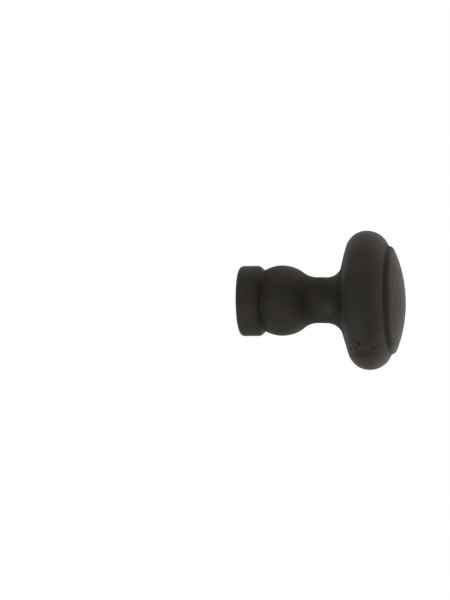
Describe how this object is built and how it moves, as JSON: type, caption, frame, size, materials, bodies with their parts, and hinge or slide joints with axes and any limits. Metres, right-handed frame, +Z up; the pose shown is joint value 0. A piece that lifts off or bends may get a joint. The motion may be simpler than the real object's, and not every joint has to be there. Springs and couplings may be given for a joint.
{
  "type": "cabinet knob",
  "caption": "Cast cabinet knob with a ring foot, ball and waisted neck, a round-rimmed head with a low domed button, and a blind tapped hole for a screw from behind.",
  "frame": {"origin": "centre of the foot's flat back, on the screw's axis: where the knob meets the door", "axes": "+Y along the screw's axis into the door, so the knob's face looks along -Y; +Z up; +X to the right as seen from the front"},
  "size_m": [0.0318, 0.038, 0.0318],
  "materials": {
    "black_cast_iron": "matte"
  },
  "bodies": {
    "root": {"knob": "black_cast_iron"}
  },
  "joints": []
}
